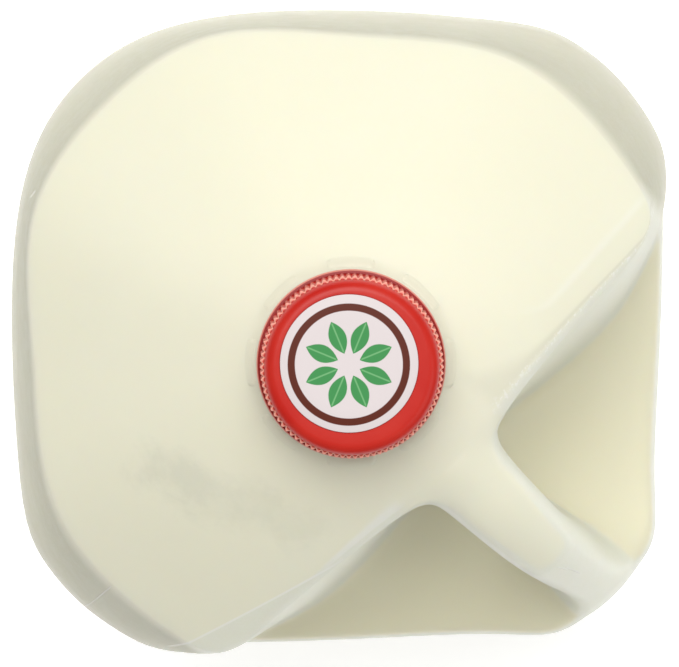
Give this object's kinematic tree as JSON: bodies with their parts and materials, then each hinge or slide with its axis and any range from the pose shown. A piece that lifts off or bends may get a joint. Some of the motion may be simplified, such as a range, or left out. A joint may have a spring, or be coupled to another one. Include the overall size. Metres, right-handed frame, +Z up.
{
  "type": "milk jug",
  "caption": "Full square-bodied plastic milk jug with a hollow corner handle, a sloping shoulder and a ribbed red screw cap that carries a round label.",
  "frame": {"origin": "centre of the bounding box at the level that the jug stands on", "axes": "+Z up along the neck, flat sides facing X and Y, handle at the corner between +X and -Y"},
  "size_m": [0.1557, 0.1516, 0.2541],
  "materials": {
    "jug": "translucent natural polyethylene, satin",
    "milk": "opaque cream-white liquid",
    "cap": "moulded polyethylene, semi-gloss",
    "cap_label": "printed label, matt"
  },
  "bodies": {
    "root": {"jug": "jug", "milk": "milk", "cap": "cap", "cap_label": "cap_label"}
  },
  "joints": []
}
